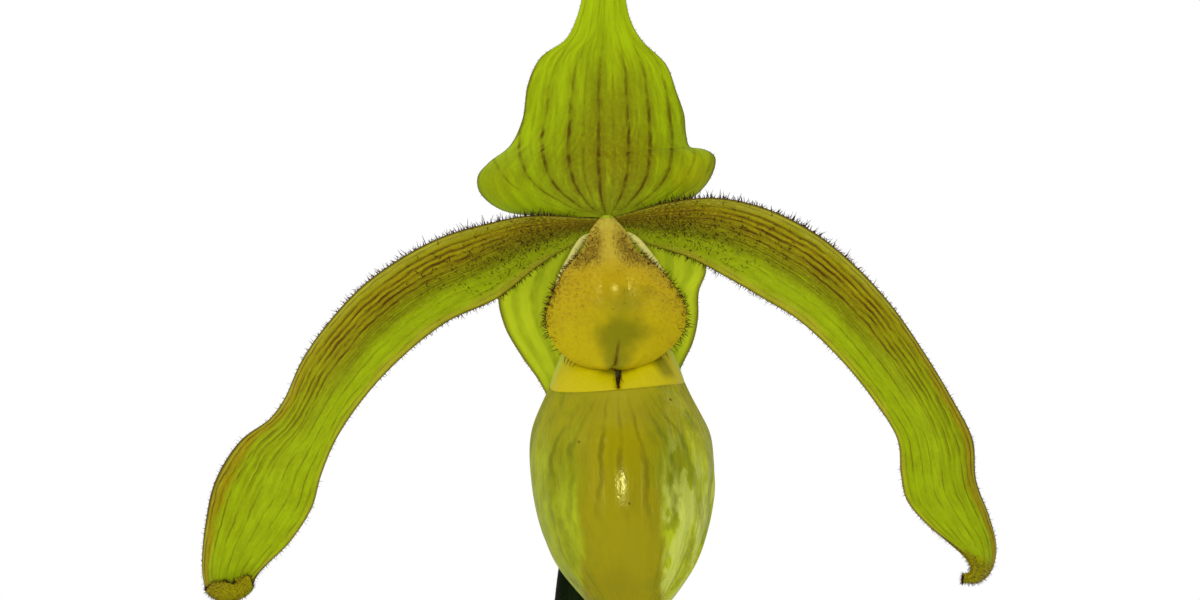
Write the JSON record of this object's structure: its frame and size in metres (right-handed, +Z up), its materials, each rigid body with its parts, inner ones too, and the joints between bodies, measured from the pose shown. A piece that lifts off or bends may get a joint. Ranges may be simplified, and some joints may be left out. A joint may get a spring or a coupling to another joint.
{
  "type": "potted slipper orchid",
  "caption": "Slipper orchid in a clay pot of bark: a fan of strap leaves and a tall stem with one green and gold flower with drooping petals and a pouch.",
  "frame": {"origin": "middle of the pot's flat foot, on the surface that it stands on", "axes": "+Z up along the pot's axis, -Y the way the flower faces, +X to the right of somebody who looks into the flower"},
  "size_m": [0.3138, 0.1372, 0.365],
  "materials": {
    "clay": "unglazed fired clay, matte, with pale mineral bloom",
    "bark": "rough fir bark chips",
    "leaf": "smooth waxy leaf, satin",
    "stem": "dark green stem with short hairs",
    "sepal": "thin translucent lime green flesh with brown veins",
    "petal": "thin translucent green and yellow-brown flesh with fine brown veins",
    "lip": "glossy waxy yellow-green flesh",
    "shield": "glossy golden flesh with short dark hairs",
    "column": "pale cream flesh"
  },
  "bodies": {
    "root": {"pot": "clay", "bark_bed": "bark", "rootstock": "stem", "young_rootstock": "stem", "leaf_1": "leaf", "leaf_2": "leaf", "leaf_3": "leaf", "leaf_4": "leaf", "leaf_5": "leaf", "leaf_6": "leaf", "young_leaf_1": "leaf", "young_leaf_2": "leaf", "young_leaf_3": "leaf", "scape": "stem", "bract": "leaf", "ovary": "stem", "dorsal_sepal": "sepal", "synsepal": "sepal", "petal_left": "petal", "petal_right": "petal", "lip": "lip", "staminode": "shield", "column": "column"}
  },
  "joints": []
}
